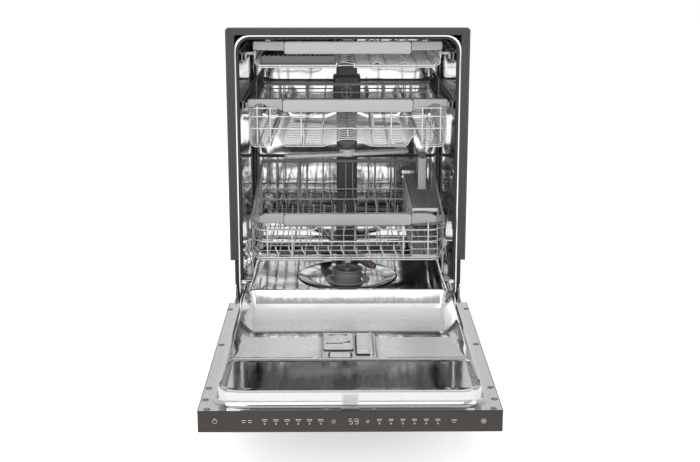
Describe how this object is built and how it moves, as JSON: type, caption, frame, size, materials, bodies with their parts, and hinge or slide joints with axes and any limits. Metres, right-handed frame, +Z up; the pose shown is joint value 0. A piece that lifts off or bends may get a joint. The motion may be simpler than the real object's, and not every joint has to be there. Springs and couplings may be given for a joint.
{
  "type": "built in dishwasher",
  "caption": "Built in dishwasher with a drop down door, sliding wire racks, turning spray arms and a mirror finished steel tub.",
  "frame": {"origin": "on the floor, under the middle of the machine with its door open", "axes": "+Z up, -Y towards the person who opens the door, +X to their right"},
  "size_m": [0.603, 1.31, 0.854],
  "materials": {
    "stainless": "satin",
    "mirror_steel": "polished",
    "dark_trim": "satin",
    "rubber": "matte",
    "blanket": "matte",
    "black_plastic": "matte",
    "grey_plastic": "satin",
    "light_plastic": "satin",
    "white_plastic": "satin",
    "coated_wire": "satin",
    "satin_insert": "satin",
    "strip": "satin",
    "door_skin": "satin",
    "zinc": "satin"
  },
  "bodies": {
    "cabinet": {"tub_shell": "mirror_steel", "front_trim": "dark_trim", "door_gasket": "rubber", "insulation_blanket": "blanket", "latch_strike": "zinc", "base_frame": "black_plastic", "kick_plate": "dark_trim", "hinge_brackets": "zinc", "sump": "grey_plastic", "feed_duct": "grey_plastic", "upper_rail_channels": "zinc", "third_rail_channels": "zinc", "wash_pump": "black_plastic", "hose_ports": "light_plastic", "junction_box": "zinc"},
    "door": {"door_outer_panel": "door_skin", "handle_pocket": "black_plastic", "control_strip": "strip", "door_liner": "mirror_steel", "dispenser_body": "light_plastic", "vent_cover": "light_plastic", "liner_screws": "zinc", "hinge_arms": "dark_trim"},
    "detergent_lid": {"detergent_lid": "light_plastic"},
    "rinse_aid_lid": {"rinse_aid_lid": "light_plastic"},
    "lower_rack": {"lower_rack_ends": "coated_wire", "lower_rack_sides": "coated_wire", "lower_rack_floor": "coated_wire", "lower_rack_rim": "light_plastic", "lower_handle_insert": "satin_insert", "tine_clips": "light_plastic"},
    "cutlery_basket": {"cutlery_basket": "light_plastic", "basket_cover": "grey_plastic"},
    "tine_row_front": {"tine_row_front": "coated_wire"},
    "tine_row_back": {"tine_row_back": "coated_wire"},
    "upper_rack": {"upper_rack_ends": "coated_wire", "upper_rack_sides": "coated_wire", "upper_rack_floor": "coated_wire", "upper_rack_rim": "light_plastic", "upper_handle_insert": "satin_insert", "upper_manifold": "grey_plastic"},
    "cup_shelf_left": {"cup_shelf_left": "grey_plastic"},
    "cup_shelf_right": {"cup_shelf_right": "grey_plastic"},
    "upper_slides": {"upper_slides": "zinc"},
    "third_rack": {"third_rack_basket": "coated_wire", "third_rack_rim": "light_plastic", "third_rack_tray": "grey_plastic"},
    "third_slides": {"third_slides": "zinc"},
    "lower_spray_arm": {"lower_spray_arm": "grey_plastic"},
    "upper_spray_arm": {"upper_spray_arm": "light_plastic"},
    "filter_cup": {"filter_cup": "light_plastic"},
    "foot_front_left": {"foot_front_left": "zinc"},
    "foot_front_right": {"foot_front_right": "zinc"},
    "foot_back_left": {"foot_back_left": "zinc"},
    "foot_back_right": {"foot_back_right": "zinc"},
    "lower_wheel_front_left": {"lower_wheel_front_left": "white_plastic"},
    "lower_wheel_back_left": {"lower_wheel_back_left": "white_plastic"},
    "lower_wheel_front_right": {"lower_wheel_front_right": "white_plastic"},
    "lower_wheel_back_right": {"lower_wheel_back_right": "white_plastic"}
  },
  "joints": [
    {"name": "door_hinge", "type": "hinge", "parent": "cabinet", "child": "door", "pos_m": [0, 0.0525, 0.1415], "axis": [1, 0, 0], "range_deg": [-90, 0]},
    {"name": "detergent_lid_slide", "type": "slide", "parent": "door", "child": "detergent_lid", "axis": [0, 1, 0], "range_m": [0, 0.08]},
    {"name": "rinse_aid_lid_hinge", "type": "hinge", "parent": "door", "child": "rinse_aid_lid", "pos_m": [0.0485, -0.303, 0.1804], "axis": [0, 1, 0], "range_deg": [0, 100]},
    {"name": "lower_rack_slide", "type": "slide", "parent": "cabinet", "child": "lower_rack", "axis": [0, -1, 0], "range_m": [0, 0.43]},
    {"name": "upper_rack_slide", "type": "slide", "parent": "cabinet", "child": "upper_rack", "axis": [0, -1, 0], "range_m": [0, 0.43]},
    {"name": "third_rack_slide", "type": "slide", "parent": "cabinet", "child": "third_rack", "axis": [0, -1, 0], "range_m": [0, 0.43]},
    {"name": "upper_member_slide", "type": "slide", "parent": "cabinet", "child": "upper_slides", "axis": [0, -1, 0], "range_m": [0, 0.215]},
    {"name": "third_member_slide", "type": "slide", "parent": "cabinet", "child": "third_slides", "axis": [0, -1, 0], "range_m": [0, 0.215]},
    {"name": "cutlery_basket_lift", "type": "slide", "parent": "lower_rack", "child": "cutlery_basket", "axis": [0, 0, 1], "range_m": [0, 0.012]},
    {"name": "tine_row_front_fold", "type": "hinge", "parent": "lower_rack", "child": "tine_row_front", "pos_m": [0, 0.225, 0.262], "axis": [-1, 0, 0], "range_deg": [0, 85]},
    {"name": "tine_row_back_fold", "type": "hinge", "parent": "lower_rack", "child": "tine_row_back", "pos_m": [0, 0.4, 0.262], "axis": [-1, 0, 0], "range_deg": [0, 85]},
    {"name": "cup_shelf_left_fold", "type": "hinge", "parent": "upper_rack", "child": "cup_shelf_left", "pos_m": [-0.236, 0.35, 0.65], "axis": [0, 1, 0], "range_deg": [0, 85]},
    {"name": "cup_shelf_right_fold", "type": "hinge", "parent": "upper_rack", "child": "cup_shelf_right", "pos_m": [0.236, 0.35, 0.65], "axis": [0, -1, 0], "range_deg": [0, 85]},
    {"name": "lower_spray_arm_spin", "type": "hinge", "parent": "cabinet", "child": "lower_spray_arm", "pos_m": [0, 0.375, 0.214], "axis": [0, 0, 1], "continuous": true},
    {"name": "upper_spray_arm_spin", "type": "hinge", "parent": "upper_rack", "child": "upper_spray_arm", "pos_m": [0, 0.345, 0.494], "axis": [0, 0, 1], "continuous": true},
    {"name": "filter_cup_twist", "type": "hinge", "parent": "cabinet", "child": "filter_cup", "pos_m": [0, 0.285, 0.15], "axis": [0, 0, 1], "range_deg": [0, 90]},
    {"name": "lower_wheel_front_left_roll", "type": "hinge", "parent": "lower_rack", "child": "lower_wheel_front_left", "pos_m": [-0.2585, 0.16, 0.2144], "axis": [1, 0, 0], "range_deg": [0, 1760.8]},
    {"name": "lower_wheel_back_left_roll", "type": "hinge", "parent": "lower_rack", "child": "lower_wheel_back_left", "pos_m": [-0.2585, 0.54, 0.2144], "axis": [1, 0, 0], "range_deg": [0, 1760.8]},
    {"name": "lower_wheel_front_right_roll", "type": "hinge", "parent": "lower_rack", "child": "lower_wheel_front_right", "pos_m": [0.2585, 0.16, 0.2144], "axis": [1, 0, 0], "range_deg": [0, 1760.8]},
    {"name": "lower_wheel_back_right_roll", "type": "hinge", "parent": "lower_rack", "child": "lower_wheel_back_right", "pos_m": [0.2585, 0.54, 0.2144], "axis": [1, 0, 0], "range_deg": [0, 1760.8]},
    {"name": "foot_front_left_height", "type": "slide", "parent": "cabinet", "child": "foot_front_left", "axis": [0, 0, -1], "range_m": [0, 0.025]},
    {"name": "foot_front_right_height", "type": "slide", "parent": "cabinet", "child": "foot_front_right", "axis": [0, 0, -1], "range_m": [0, 0.025]},
    {"name": "foot_back_left_height", "type": "slide", "parent": "cabinet", "child": "foot_back_left", "axis": [0, 0, -1], "range_m": [0, 0.025]},
    {"name": "foot_back_right_height", "type": "slide", "parent": "cabinet", "child": "foot_back_right", "axis": [0, 0, -1], "range_m": [0, 0.025]}
  ],
  "couplings": [
    {"joint": "upper_member_slide", "follows": "upper_rack_slide", "ratio": 0.5},
    {"joint": "third_member_slide", "follows": "third_rack_slide", "ratio": 0.5},
    {"joint": "lower_wheel_front_left_roll", "follows": "lower_rack_slide", "rad_per_m": 71.429},
    {"joint": "lower_wheel_back_left_roll", "follows": "lower_rack_slide", "rad_per_m": 71.429},
    {"joint": "lower_wheel_front_right_roll", "follows": "lower_rack_slide", "rad_per_m": 71.429},
    {"joint": "lower_wheel_back_right_roll", "follows": "lower_rack_slide", "rad_per_m": 71.429}
  ]
}
